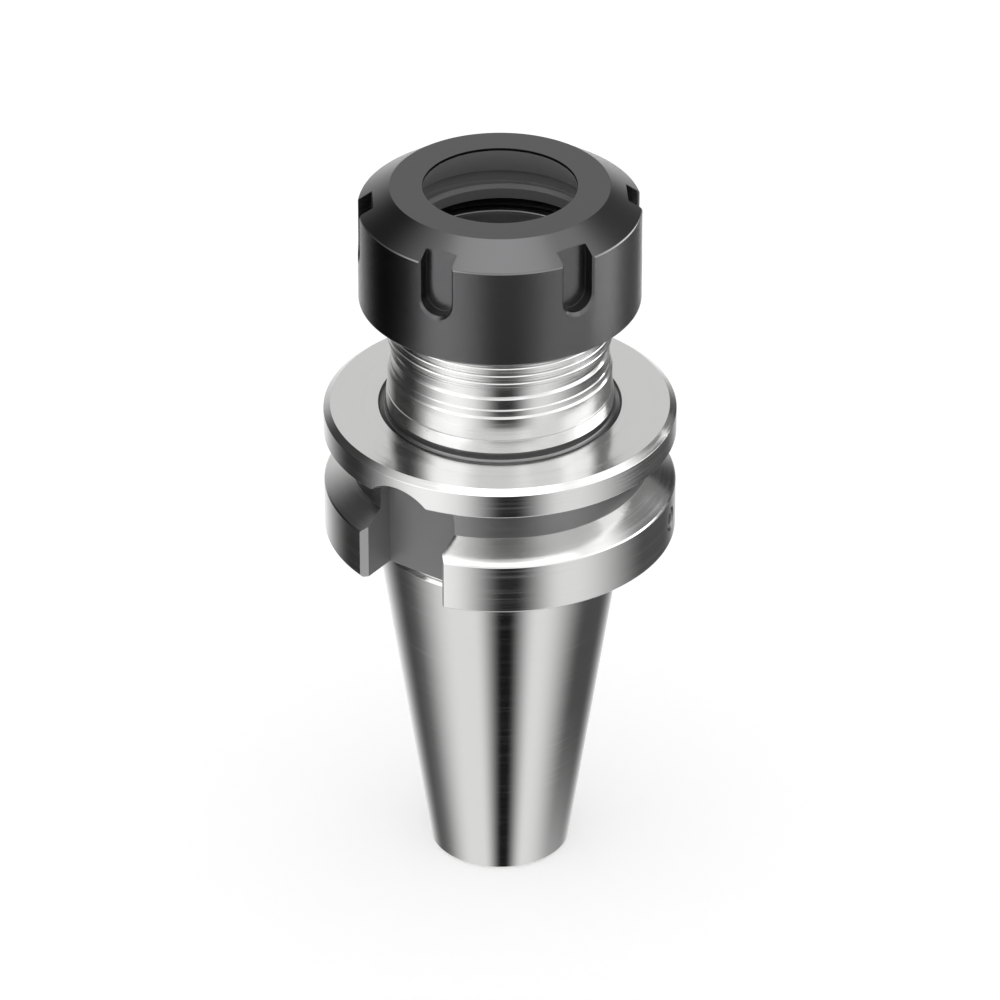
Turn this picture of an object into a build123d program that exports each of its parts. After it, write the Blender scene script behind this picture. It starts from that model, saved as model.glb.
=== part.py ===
# Collet chuck holder: a size 40 steep-taper shank with a grooved flange, a threaded neck,
# an 8 degree collet seat and a slotted clamping nut, with the plug screws of its coolant drillings.
#
# Millimetres. The holder stands on the small end of its taper, which is the origin, with its axis
# along +Z. The drive slots face -Y and +Y. As on drawings of such holders, heights are measured
# from the gauge plane, where the taper has its gauge diameter, and at_height() turns them into Z.
# Turned profiles are drawn in the XZ plane, as (radius, Z), and revolved about Z.
import os
from math import cos, radians, sin, sqrt, tan

from build123d import *

# Taper shank
gauge_diameter = 44.45
taper_per_length = 7 / 24
taper_length = 65.4
small_end_chamfer = 0.4
taper_relief_width = 1.7
taper_relief_depth = 0.7

# Flange with the gripper groove
flange_diameter = 63.0
rear_face_height = 2.0
rear_rim_width = 9.6
groove_width = 10.0
groove_angle = 60.0
groove_depth = 5.0
front_rim_width = 5.4
rear_edge_chamfer = 0.45
groove_edge_chamfer = 0.25
front_chamfer_width = 1.2
front_chamfer_height = 0.9

# Drive slots, milled with an end mill that points at the axis
drive_slot_width = 16.1
drive_slot_floor = 22.6
drive_slot_centre_height = 16.3
drive_slot_edge_chamfer = 1.1

# Neck, from the undercut at its foot up to the thread
undercut_diameter = 43.4
undercut_depth = 0.5
undercut_height = 1.3
foot_diameter = 41.0
foot_cone_length = 2.3
neck_diameter = 40.0
neck_length = 4.3
lower_land_diameter = 39.3
lower_land_length = 1.45
upper_land_diameter = 38.9
upper_land_length = 2.1

# Thread of the nut, drawn at the depth of its root
thread_diameter = 40.0
thread_pitch = 1.5
thread_root_per_pitch = 0.6134
thread_relief_width = 1.8
thread_relief_depth = 0.1
thread_clearance = 0.1
nose_height = 56.2
nose_chamfer = 0.6

# Collet seat and the bores behind it
seat_diameter = 33.0
seat_half_angle = 8.0
seat_length = 33.0
seat_edge_chamfer = 0.4
shank_bore_diameter = 22.5
shank_bore_length = 26.0
coolant_bore_diameter = 10.0
drill_point_angle = 118.0

# Pull-stud hole in the small end
stud_pilot_diameter = 17.0
stud_pilot_depth = 8.2
stud_thread_bore_diameter = 14.0
stud_thread_end_depth = 41.0
stud_pilot_chamfer = 0.5

# Coolant drillings through the rear rim, and their plug screws
plug_angle = 111.0
plug_height = 7.0
plug_diameter = 4.0
plug_length = 4.0
plug_sink = 0.25
plug_mouth_chamfer = 0.35
plug_socket_width = 2.0
plug_socket_depth = 1.8
plug_edge_chamfer = 0.3
plug_clearance = 0.02
plug_gap = 0.35
channel_diameter = 3.2
inlet_screw_length = 6.0
inlet_screw_sink = 0.3
inlet_hole_depth = 7.2

# Clamping nut
nut_diameter = 50.0
nut_length = 22.5
nut_rise = 8.0
nut_face_diameter = 38.8
nut_cone_height = 3.75
nut_bottom_chamfer = 0.7
nut_edge_chamfer = 0.25
mouth_diameter = 27.2
mouth_land = 0.5
clamp_half_angle = 30.0
clamp_depth = 6.9
ring_groove_diameter = 35.6
ring_groove_width = 1.9
lip_bore_diameter = 33.0
lip_offset = 0.6
lip_width = 3.0
lip_chamfer = 0.8
nut_relief_diameter = 40.8
nut_relief_width = 1.8
nut_entry_chamfer = 1.1

# Spanner slots of the nut
spanner_slot_count = 6
spanner_slot_width = 6.0
spanner_slot_depth = 2.7
spanner_slot_bottom = 8.7
spanner_slot_corner = 0.7
spanner_slot_edge_chamfer = 0.35
first_spanner_slot_angle = 8.5


def at_height(height):
    # Z of a height above the gauge plane
    return taper_length + height


def radius_on_taper(height):
    return (gauge_diameter + height * taper_per_length) / 2


def outward(angle):
    # unit vector across the axis, at an angle from -Y towards +X
    return Vector(sin(radians(angle)), -cos(radians(angle)), 0)


# Heights and radii that follow from the sizes above
flange_radius = flange_diameter / 2
groove_root_radius = flange_radius - groove_depth
groove_run = groove_depth * tan(radians(groove_angle / 2))
rear_rim_top = rear_face_height + rear_rim_width
front_rim_bottom = rear_rim_top + groove_width
front_face_height = front_rim_bottom + front_rim_width
thread_root_radius = thread_diameter / 2 - thread_root_per_pitch * thread_pitch
neck_start = front_face_height + undercut_height + foot_cone_length
nut_radius = nut_diameter / 2
nut_bottom = nose_height - nut_rise
nut_top = nut_bottom + nut_length
lip_top_depth = clamp_depth + ring_groove_width
lip_bottom_depth = lip_top_depth + lip_width
spanner_slot_floor = nut_radius - spanner_slot_depth
screw_hole_radius = plug_diameter / 2 + plug_clearance
inlet_radius = flange_radius - plug_sink - plug_length - plug_gap - plug_diameter / 2


# Holder body: turned outside
def shank_and_flange_points():
    relief_radius = radius_on_taper(0) - taper_relief_depth
    relief_bottom = rear_face_height - taper_relief_width
    return [
        (0, at_height(-taper_length)),
        (radius_on_taper(-taper_length) - small_end_chamfer, at_height(-taper_length)),
        (radius_on_taper(small_end_chamfer - taper_length), at_height(small_end_chamfer - taper_length)),
        (radius_on_taper(relief_bottom), at_height(relief_bottom)),
        (relief_radius, at_height(relief_bottom + taper_relief_depth)),
        (relief_radius, at_height(rear_face_height)),
        (flange_radius - rear_edge_chamfer, at_height(rear_face_height)),
        (flange_radius, at_height(rear_face_height + rear_edge_chamfer)),
        (flange_radius, at_height(rear_rim_top - groove_edge_chamfer)),
        (flange_radius - groove_edge_chamfer, at_height(rear_rim_top)),
        (groove_root_radius, at_height(rear_rim_top + groove_run)),
        (groove_root_radius, at_height(front_rim_bottom - groove_run)),
        (flange_radius - groove_edge_chamfer, at_height(front_rim_bottom)),
        (flange_radius, at_height(front_rim_bottom + groove_edge_chamfer)),
        (flange_radius, at_height(front_face_height - front_chamfer_height)),
        (flange_radius - front_chamfer_width, at_height(front_face_height)),
        (undercut_diameter / 2, at_height(front_face_height)),
    ]


def neck_points():
    undercut_floor = front_face_height - undercut_depth
    undercut_radius = foot_diameter / 2 - undercut_depth
    lower_land = neck_start + neck_length
    upper_land = lower_land + lower_land_length
    relief = upper_land + upper_land_length
    thread_start = relief + thread_relief_width
    relief_radius = thread_root_radius - thread_relief_depth
    lower_step = (neck_diameter - lower_land_diameter) / 2
    middle_step = (lower_land_diameter - upper_land_diameter) / 2
    upper_step = upper_land_diameter / 2 - relief_radius
    return [
        (undercut_diameter / 2 - undercut_depth, at_height(undercut_floor)),
        (undercut_radius + undercut_depth, at_height(undercut_floor)),
        (undercut_radius, at_height(front_face_height)),
        (undercut_radius, at_height(front_face_height + undercut_height - undercut_depth)),
        (foot_diameter / 2, at_height(front_face_height + undercut_height)),
        (neck_diameter / 2, at_height(neck_start)),
        (neck_diameter / 2, at_height(lower_land)),
        (lower_land_diameter / 2, at_height(lower_land + lower_step)),
        (lower_land_diameter / 2, at_height(upper_land)),
        (upper_land_diameter / 2, at_height(upper_land + middle_step)),
        (upper_land_diameter / 2, at_height(relief)),
        (relief_radius, at_height(relief + upper_step)),
        (relief_radius, at_height(thread_start)),
        (thread_root_radius, at_height(thread_start + thread_relief_depth)),
        (thread_root_radius, at_height(nose_height - nose_chamfer)),
        (thread_root_radius - nose_chamfer, at_height(nose_height)),
        (0, at_height(nose_height)),
    ]


# Holder body: bores from the nose down to the small end, as one revolved void
def bore_points():
    seat_end_radius = seat_diameter / 2 - seat_length * tan(radians(seat_half_angle))
    seat_end = nose_height - seat_length
    shank_bore_radius = shank_bore_diameter / 2
    shank_bore_end = seat_end - shank_bore_length
    drill_slope = tan(radians(drill_point_angle / 2))
    channel_radius = coolant_bore_diameter / 2
    stud_radius = stud_thread_bore_diameter / 2
    pilot_radius = stud_pilot_diameter / 2
    stud_end = stud_thread_end_depth - taper_length
    pilot_end = stud_pilot_depth - taper_length
    return [
        (0, at_height(nose_height)),
        (seat_diameter / 2 + seat_edge_chamfer, at_height(nose_height)),
        (seat_diameter / 2, at_height(nose_height - seat_edge_chamfer)),
        (seat_end_radius, at_height(seat_end)),
        (shank_bore_radius, at_height(seat_end)),
        (shank_bore_radius, at_height(shank_bore_end)),
        (channel_radius, at_height(shank_bore_end - (shank_bore_radius - channel_radius) / drill_slope)),
        (channel_radius, at_height(stud_end + (stud_radius - channel_radius) / drill_slope)),
        (stud_radius, at_height(stud_end)),
        (stud_radius, at_height(pilot_end)),
        (pilot_radius, at_height(pilot_end)),
        (pilot_radius, at_height(stud_pilot_chamfer - taper_length)),
        (pilot_radius + stud_pilot_chamfer, at_height(-taper_length)),
        (0, at_height(-taper_length)),
    ]


def radial_plane(angle, distance, height):
    # plane across a line from the axis, looking outward, with its own +Y up
    return Plane(
        origin=outward(angle) * distance + Vector(0, 0, at_height(height)),
        x_dir=(cos(radians(angle)), sin(radians(angle)), 0),
        z_dir=outward(angle),
    )


def downward_plane(angle, distance, height):
    # plane across a line parallel to the axis, looking down, with its own +Y outward
    return Plane(
        origin=outward(angle) * distance + Vector(0, 0, at_height(height)),
        x_dir=(cos(radians(angle)), sin(radians(angle)), 0),
        z_dir=(0, 0, -1),
    )


def drill(mouth_plane, radius, depth, taper=0):
    # a round hole from the plane against its normal, in the part that is being built
    with BuildSketch(mouth_plane) as mouth:
        Circle(radius)
    extrude(mouth.sketch, amount=-depth, taper=taper, mode=Mode.SUBTRACT)


def drill_coolant_way(angle):
    # a channel to the bore with a threaded mouth, and its inlet from the rear face
    rim = radial_plane(angle, flange_radius, plug_height)
    rear_face = downward_plane(angle, inlet_radius, rear_face_height)
    drill(rim, channel_diameter / 2, flange_radius)
    drill(rim, screw_hole_radius, plug_sink + plug_length)
    drill(rim, screw_hole_radius + plug_mouth_chamfer, plug_mouth_chamfer, taper=45)
    drill(rear_face, screw_hole_radius, inlet_hole_depth)


# Holder body
slot_sides = [0, 180]
plug_angles = [plug_angle, plug_angle + 180]
slot_half = drive_slot_width / 2
chamfered_half = slot_half + drive_slot_edge_chamfer
slot_edge_distance = sqrt(flange_radius**2 - chamfered_half**2)
slot_chamfer_outside = flange_radius - slot_edge_distance

with BuildPart() as holder_body:
    with BuildSketch(Plane.XZ):
        with BuildLine():
            Polyline(*shank_and_flange_points(), *neck_points(), close=True)
        make_face()
    revolve(axis=Axis.Z)
    with BuildSketch(Plane.XZ):
        with BuildLine():
            Polyline(*bore_points(), close=True)
        make_face()
    revolve(axis=Axis.Z, mode=Mode.SUBTRACT)

    # drive slots: straight sides, and a round end towards the front rim
    slot_floors = [radial_plane(side, drive_slot_floor, drive_slot_centre_height) for side in slot_sides]
    slot_run_out = drive_slot_centre_height - rear_face_height + slot_half
    with BuildSketch(*slot_floors):
        Circle(slot_half)
        Rectangle(drive_slot_width, slot_run_out, align=(Align.CENTER, Align.MAX))
    extrude(amount=flange_radius, mode=Mode.SUBTRACT)

    # chamfers along the slots' upright edges, below the gripper groove
    chamfer_top = rear_rim_top + groove_run
    slot_tops = [downward_plane(side, slot_edge_distance, chamfer_top) for side in slot_sides]
    with BuildSketch(*slot_tops):
        for hand in (-1, 1):
            with BuildLine():
                Polyline(
                    (hand * slot_half, -drive_slot_edge_chamfer),
                    (hand * chamfered_half, 0),
                    (hand * chamfered_half, slot_chamfer_outside),
                    (hand * slot_half, slot_chamfer_outside),
                    close=True,
                )
            make_face()
    extrude(amount=rear_rim_width + groove_run, mode=Mode.SUBTRACT)

    for angle in plug_angles:
        drill_coolant_way(angle)


# Plug screws: grub screws with a hexagon socket, a flat point and broken edges
def plug_screw(outer_plane, length):
    with BuildPart() as screw:
        with BuildSketch(outer_plane) as section:
            Circle(plug_diameter / 2)
        extrude(section.sketch, amount=-length)
        chamfer(screw.edges().filter_by(GeomType.CIRCLE), plug_edge_chamfer)
        with BuildSketch(outer_plane) as socket:
            RegularPolygon(plug_socket_width / 2, 6, major_radius=False)
        extrude(socket.sketch, amount=-plug_socket_depth, mode=Mode.SUBTRACT)
    return screw.part


# Clamping nut: turned outside and inside, as one section, from its lower face up
def nut_outside_points():
    cone_edge = nut_length - nut_cone_height
    return [
        (nut_radius - nut_bottom_chamfer, 0),
        (nut_radius, nut_bottom_chamfer),
        (nut_radius, cone_edge - nut_edge_chamfer),
        (nut_radius - nut_edge_chamfer, cone_edge),
        (nut_face_diameter / 2, nut_length),
    ]


def nut_inside_points():
    # from the mouth down: land, clamping cone, groove, lip, thread relief and thread
    mouth_radius = mouth_diameter / 2
    cone_radius = mouth_radius + (clamp_depth - mouth_land) * tan(radians(clamp_half_angle))
    groove_radius = ring_groove_diameter / 2
    lip_radius = lip_bore_diameter / 2 - lip_offset - lip_chamfer
    relief_radius = nut_relief_diameter / 2
    bore_radius = thread_root_radius + thread_clearance
    relief_end = lip_bottom_depth + nut_relief_width
    return [
        (mouth_radius, nut_length),
        (mouth_radius, nut_length - mouth_land),
        (cone_radius, nut_length - clamp_depth),
        (groove_radius, nut_length - clamp_depth),
        (groove_radius, nut_length - lip_top_depth),
        (lip_radius, nut_length - lip_top_depth),
        (lip_radius, nut_length - lip_bottom_depth),
        (relief_radius, nut_length - lip_bottom_depth),
        (relief_radius, nut_length - relief_end),
        (bore_radius, nut_length - relief_end - (relief_radius - bore_radius)),
        (bore_radius, nut_entry_chamfer),
        (bore_radius + nut_entry_chamfer, 0),
    ]


# What a mill with bevelled corners takes out for one spanner slot, at the angle 0. It runs down
# from the cone and stops above the nut's lower edge, and a second cut flares the slot's outer edge.
spanner_slot_centre = nut_bottom + spanner_slot_bottom + spanner_slot_width / 2
flared_half = spanner_slot_width / 2 + spanner_slot_edge_chamfer
flare_start = sqrt(nut_radius**2 - flared_half**2) - spanner_slot_edge_chamfer
flare_length = nut_radius - flare_start

with BuildPart() as spanner_slot:
    with BuildSketch(radial_plane(0, spanner_slot_floor, spanner_slot_centre)):
        Circle(spanner_slot_width / 2)
        Rectangle(spanner_slot_width, nut_length, align=(Align.CENTER, Align.MIN))
    extrude(amount=spanner_slot_depth)
    chamfer(spanner_slot.faces().sort_by(Axis.Y)[-1].edges(), spanner_slot_corner)
    with BuildSketch(radial_plane(0, flare_start, spanner_slot_centre)):
        Circle(spanner_slot_width / 2)
        Rectangle(spanner_slot_width, nut_length, align=(Align.CENTER, Align.MIN))
    extrude(amount=flare_length, taper=-45)

with BuildPart() as clamping_nut:
    with BuildSketch(Plane.XZ):
        with BuildLine():
            section = [*nut_outside_points(), *nut_inside_points()]
            Polyline(*[(x, z + at_height(nut_bottom)) for x, z in section], close=True)
        make_face()
    revolve(axis=Axis.Z)

    # the lip's bore is off the axis: a collet is tilted in and snaps under the lip's thick side
    lip_plane = Plane.XY.offset(at_height(nut_top - lip_top_depth))
    with BuildSketch(lip_plane):
        with Locations((lip_offset, 0)):
            Circle(lip_bore_diameter / 2)
    extrude(amount=-lip_width, mode=Mode.SUBTRACT)
    with BuildSketch(lip_plane):
        with Locations((lip_offset, 0)):
            Circle(lip_bore_diameter / 2 + lip_chamfer)
    extrude(amount=-lip_chamfer, taper=45, mode=Mode.SUBTRACT)

    with PolarLocations(0, spanner_slot_count, start_angle=first_spanner_slot_angle):
        add(spanner_slot.part, mode=Mode.SUBTRACT)

pieces = {
    "holder_body": holder_body.part,
    "clamping_nut": clamping_nut.part,
}
for name, angle in zip(("right", "left"), plug_angles):
    rim_plane = radial_plane(angle, flange_radius - plug_sink, plug_height)
    inlet_mouth = downward_plane(angle, inlet_radius, rear_face_height + inlet_screw_sink)
    pieces[f"channel_plug_{name}"] = plug_screw(rim_plane, plug_length)
    pieces[f"inlet_plug_{name}"] = plug_screw(inlet_mouth, inlet_screw_length)

os.makedirs("parts", exist_ok=True)
for name, piece in pieces.items():
    piece.label = name
    export_step(piece, f"parts/{name}.step")
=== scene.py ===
import math

import bmesh
import bpy
from mathutils import Matrix, Vector


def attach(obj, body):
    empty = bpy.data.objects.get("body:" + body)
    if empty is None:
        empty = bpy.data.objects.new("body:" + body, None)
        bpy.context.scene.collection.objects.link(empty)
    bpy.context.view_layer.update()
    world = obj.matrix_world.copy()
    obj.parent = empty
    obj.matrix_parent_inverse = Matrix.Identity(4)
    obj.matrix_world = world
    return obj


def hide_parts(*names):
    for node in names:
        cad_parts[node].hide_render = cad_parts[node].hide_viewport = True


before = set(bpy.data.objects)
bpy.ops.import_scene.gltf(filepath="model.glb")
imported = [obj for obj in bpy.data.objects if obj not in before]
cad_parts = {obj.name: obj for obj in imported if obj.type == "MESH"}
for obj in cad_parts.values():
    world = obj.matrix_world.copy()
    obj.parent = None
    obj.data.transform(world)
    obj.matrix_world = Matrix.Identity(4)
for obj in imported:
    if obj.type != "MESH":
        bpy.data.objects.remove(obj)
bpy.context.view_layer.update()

mm = 0.001  # the sizes below are millimetres, as on a drawing of the holder
axisUp = Vector((0, 0, 1))


def newObject(name, mesh):
    piece = bpy.data.objects.new(name, mesh)
    bpy.context.scene.collection.objects.link(piece)
    return piece


# Small helpers for node trees
def addNode(tree, kind, **settings):
    node = tree.nodes.new(kind)
    for name, value in settings.items():
        setattr(node, name, value)
    return node


def feed(tree, socket, value):
    # a socket takes another node's output or a plain value
    if isinstance(value, bpy.types.NodeSocket):
        tree.links.new(value, socket)
    else:
        socket.default_value = value


def mathNode(tree, operation, *values):
    node = addNode(tree, "ShaderNodeMath", operation=operation)
    for socket, value in zip(node.inputs, values):
        feed(tree, socket, value)
    return node.outputs[0]


def vectorNode(tree, operation, *values):
    node = addNode(tree, "ShaderNodeVectorMath", operation=operation)
    for socket, value in zip(node.inputs, values):
        feed(tree, socket, value)
    return node.outputs["Value" if operation == "LENGTH" else "Vector"]


def rampNode(tree, value, low, high, lowValue=0.0, highValue=1.0, kind="SMOOTHSTEP"):
    node = addNode(tree, "ShaderNodeMapRange", interpolation_type=kind)
    for name, given in (("Value", value), ("From Min", low), ("From Max", high),
                        ("To Min", lowValue), ("To Max", highValue)):
        feed(tree, node.inputs[name], given)
    return node.outputs["Result"]


def shaderGroup(name, inputs, outputs):
    # inputs and outputs are (socket name, kind, default) rows
    group = bpy.data.node_groups.new(name, "ShaderNodeTree")
    for inOut, rows in (("INPUT", inputs), ("OUTPUT", outputs)):
        for socketName, kind, default in rows:
            socket = group.interface.new_socket(socketName, in_out=inOut, socket_type=kind)
            if default is not None:
                socket.default_value = default
    return group, addNode(group, "NodeGroupInput"), addNode(group, "NodeGroupOutput")


def placeGroup(tree, group, **values):
    node = addNode(tree, "ShaderNodeGroup", node_tree=group)
    for name, value in values.items():
        feed(tree, node.inputs[name], value)
    return node


# Camera, as the photograph was taken
cameraSettings = {
    "azimuth": 35.2,  # from -Y towards +X
    "elevation": 31.41,
    "distance": 1190.43,
    "targetHeight": 71.633,
    "lens": 238.27,
    "sensorWidth": 36.0,
}


def towards(azimuth, elevation=0.0):
    a = math.radians(azimuth)
    e = math.radians(elevation)
    return Vector((math.sin(a) * math.cos(e), -math.cos(a) * math.cos(e), math.sin(e)))


def makeCamera(settings):
    data = bpy.data.cameras.new("camera")
    data.lens = settings["lens"]
    data.sensor_width = settings["sensorWidth"]
    camera = newObject("camera", data)
    back = towards(settings["azimuth"], settings["elevation"])
    camera.location = (back * settings["distance"] + axisUp * settings["targetHeight"]) * mm
    camera.rotation_euler = (-back).to_track_quat("-Z", "Y").to_euler()
    bpy.context.scene.camera = camera


makeCamera(cameraSettings)
print("camera placed")


# Studio: a white surround with soft lights and black cards, as directions from the object.
# A panel's degrees are in the order of panelSizes, its centre counted from the camera to the right.
panelSizes = ("Centre", "Half Width", "Lowest", "Highest", "Softness", "Fade")
studioSettings = {
    "level": 1.0,
    "diffuseLevel": 1.0,
    "lights": [
        {"panel": (0, 180, 70, 90, 5, 5), "strength": 1.6},
        {"panel": (0, 22, 12, 50, 16, 12), "strength": 0.3},
        {"panel": (-56, 12, -15, 45, 24, 24), "strength": 1.0},
        {"panel": (94, 12, 8, 50, 22, 22), "strength": 0.75},
        {"panel": (50, 20, 8, 50, 20, 20), "strength": 0.4},
    ],
    "cards": [
        {"panel": (6, 4, -62, -30, 32, 24), "left": 0.01},
        {"panel": (-112, 5, -38, -10, 56, 26), "left": 0.04},
        {"panel": (-119, 14, 16, 40, 31, 22), "left": 0.05},
        {"panel": (140, 16, 16, 44, 22, 18), "left": 0.24},
        {"panel": (180, 14, 12, 46, 24, 24), "left": 0.82},
    ],
    "sideLights": [
        {"azimuth": 95, "distance": 115, "width": 90, "bottom": 52, "top": 112, "strength": 1.7},
        {"azimuth": 97, "distance": 115, "width": 98, "bottom": 118, "top": 137, "strength": 4.5},
    ],
}


def makePanelGroup():
    # how much of a soft-edged panel lies in one direction, 0 to 1
    rows = [(name, "NodeSocketFloat", 0.0) for name in ("Azimuth", "Elevation", *panelSizes)]
    group, entry, result = shaderGroup("studioPanel", rows, [("Mask", "NodeSocketFloat", None)])
    given = entry.outputs
    aside = mathNode(group, "SUBTRACT", given["Azimuth"], given["Centre"])
    aside = mathNode(group, "ABSOLUTE", mathNode(group, "WRAP", aside, math.pi, -math.pi))
    edge = mathNode(group, "ADD", given["Half Width"], given["Softness"])
    across = rampNode(group, aside, given["Half Width"], edge, 1.0, 0.0)
    bottom = mathNode(group, "SUBTRACT", given["Lowest"], given["Fade"])
    above = rampNode(group, given["Elevation"], bottom, given["Lowest"])
    top = mathNode(group, "ADD", given["Highest"], given["Fade"])
    below = rampNode(group, given["Elevation"], given["Highest"], top, 1.0, 0.0)
    mask = mathNode(group, "MULTIPLY", across, mathNode(group, "MULTIPLY", above, below))
    feed(group, result.inputs["Mask"], mask)
    return group


def makeStudio(settings, cameraAzimuth):
    world = bpy.data.worlds.new("studio")
    world.use_nodes = True
    bpy.context.scene.world = world
    tree = world.node_tree
    tree.nodes.clear()
    panelGroup = makePanelGroup()
    direction = addNode(tree, "ShaderNodeTexCoord").outputs["Object"]
    split = addNode(tree, "ShaderNodeSeparateXYZ")
    feed(tree, split.inputs[0], vectorNode(tree, "NORMALIZE", direction))
    backwards = mathNode(tree, "MULTIPLY", split.outputs["Y"], -1.0)
    azimuth = mathNode(tree, "ARCTAN2", split.outputs["X"], backwards)
    elevation = mathNode(tree, "ARCSINE", split.outputs["Z"])

    def panel(place):
        node = placeGroup(tree, panelGroup, Azimuth=azimuth, Elevation=elevation)
        centre, *sizes = place["panel"]
        for name, degrees in zip(panelSizes, (centre + cameraAzimuth, *sizes)):
            node.inputs[name].default_value = math.radians(degrees)
        return node.outputs["Mask"]

    brightness = settings["level"]
    for light in settings["lights"]:
        glow = mathNode(tree, "MULTIPLY", panel(light), light["strength"])
        brightness = mathNode(tree, "ADD", glow, brightness)
    for card in settings["cards"]:
        kept = mathNode(tree, "MULTIPLY_ADD", panel(card), card["left"] - 1.0, 1.0)
        brightness = mathNode(tree, "MULTIPLY", kept, brightness)

    # the camera sees plain white, and mat surfaces such as the floor an even light
    rays = addNode(tree, "ShaderNodeLightPath").outputs
    mirrored = mathNode(tree, "MAXIMUM", rays["Is Glossy Ray"], rays["Is Transmission Ray"])
    evenLight = addNode(tree, "ShaderNodeMix", data_type="FLOAT")
    feed(tree, evenLight.inputs["Factor"], mirrored)
    feed(tree, evenLight.inputs["A"], settings["diffuseLevel"])
    feed(tree, evenLight.inputs["B"], brightness)
    seen = addNode(tree, "ShaderNodeMix", data_type="FLOAT")
    feed(tree, seen.inputs["Factor"], rays["Is Camera Ray"])
    feed(tree, seen.inputs["A"], evenLight.outputs["Result"])
    feed(tree, seen.inputs["B"], 1.0)
    background = addNode(tree, "ShaderNodeBackground")
    background.inputs["Color"].default_value = (1, 1, 1, 1)
    feed(tree, background.inputs["Strength"], seen.outputs["Result"])
    output = addNode(tree, "ShaderNodeOutputWorld")
    feed(tree, output.inputs["Surface"], background.outputs[0])


makeStudio(studioSettings, cameraSettings["azimuth"])


def cardMaterial(name, strength):
    # black but for its own light, without gloss
    material = bpy.data.materials.new(name)
    material.use_nodes = True
    shader = material.node_tree.nodes["Principled BSDF"]
    shader.inputs["Base Color"].default_value = (0, 0, 0, 1)
    shader.inputs["Specular IOR Level"].default_value = 0.0
    shader.inputs["Emission Color"].default_value = (1, 1, 1, 1)
    shader.inputs["Emission Strength"].default_value = strength
    return material


def stageCard(name, mesh, material):
    # only reflections see a card
    mesh.materials.append(material)
    card = newObject(name, mesh)
    card.visible_camera = False
    card.visible_diffuse = False
    card.visible_shadow = False


def makeSideLight(settings, cameraAzimuth):
    # a flat soft box upright beside the object, between two heights
    outward = towards(cameraAzimuth + settings["azimuth"])
    along = outward.cross(axisUp) * settings["width"] / 2
    middle = outward * settings["distance"]
    corners = [middle + along * side + axisUp * settings[end]
               for side, end in ((-1, "bottom"), (1, "bottom"), (1, "top"), (-1, "top"))]
    mesh = bpy.data.meshes.new("sideLight")
    mesh.from_pydata([corner * mm for corner in corners], [], [(0, 1, 2, 3)])
    stageCard("sideLight", mesh, cardMaterial("sideLight", settings["strength"]))


for settings in studioSettings["sideLights"]:
    makeSideLight(settings, cameraSettings["azimuth"])

floorSettings = {"size": 6.0, "grey": 0.8, "glow": 0.26}


def makeFloor(settings):
    half = settings["size"] / 2
    mesh = bpy.data.meshes.new("studioFloor")
    corners = [(x * half, y * half, 0) for x, y in ((-1, -1), (1, -1), (1, 1), (-1, 1))]
    mesh.from_pydata(corners, [], [(0, 1, 2, 3)])
    floor = newObject("studioFloor", mesh)
    material = bpy.data.materials.new("floorWhite")
    material.use_nodes = True
    tree = material.node_tree
    shader = tree.nodes["Principled BSDF"]
    shader.inputs["Base Color"].default_value = (settings["grey"],) * 3 + (1,)
    shader.inputs["Roughness"].default_value = 1.0
    shader.inputs["Specular IOR Level"].default_value = 0.0
    # a faint glow for the camera lifts the lit floor to plain white and leaves the shadow
    cameraRay = addNode(tree, "ShaderNodeLightPath").outputs["Is Camera Ray"]
    shader.inputs["Emission Color"].default_value = (1, 1, 1, 1)
    glow = mathNode(tree, "MULTIPLY", cameraRay, settings["glow"])
    feed(tree, shader.inputs["Emission Strength"], glow)
    mesh.materials.append(material)
    floor.visible_glossy = False  # the surround's lower half stands for it in reflections


makeFloor(floorSettings)

# Curved cards, in degrees from the camera and in millimetres
cardSegments = 72
shadeSettings = [
    {"azimuth": 107, "halfWidth": 12, "softness": 54, "radius": 100, "bottom": -150, "top": 62,
     "fade": 105, "share": 0.91, "glow": 0.0},
    {"azimuth": 121, "halfWidth": 12, "softness": 22, "radius": 101, "bottom": 62, "top": 112,
     "fade": 0.1, "share": 0.78, "glow": 0.0},
    {"azimuth": -86, "halfWidth": 13, "softness": 26, "radius": 102, "bottom": 62, "top": 112,
     "fade": 0.1, "share": 0.88, "glow": 0.0},
    {"azimuth": 12, "halfWidth": 8, "softness": 22, "radius": 103, "bottom": 62, "top": 112,
     "fade": 0.1, "share": 0.6, "glow": 0.38},
]


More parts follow.
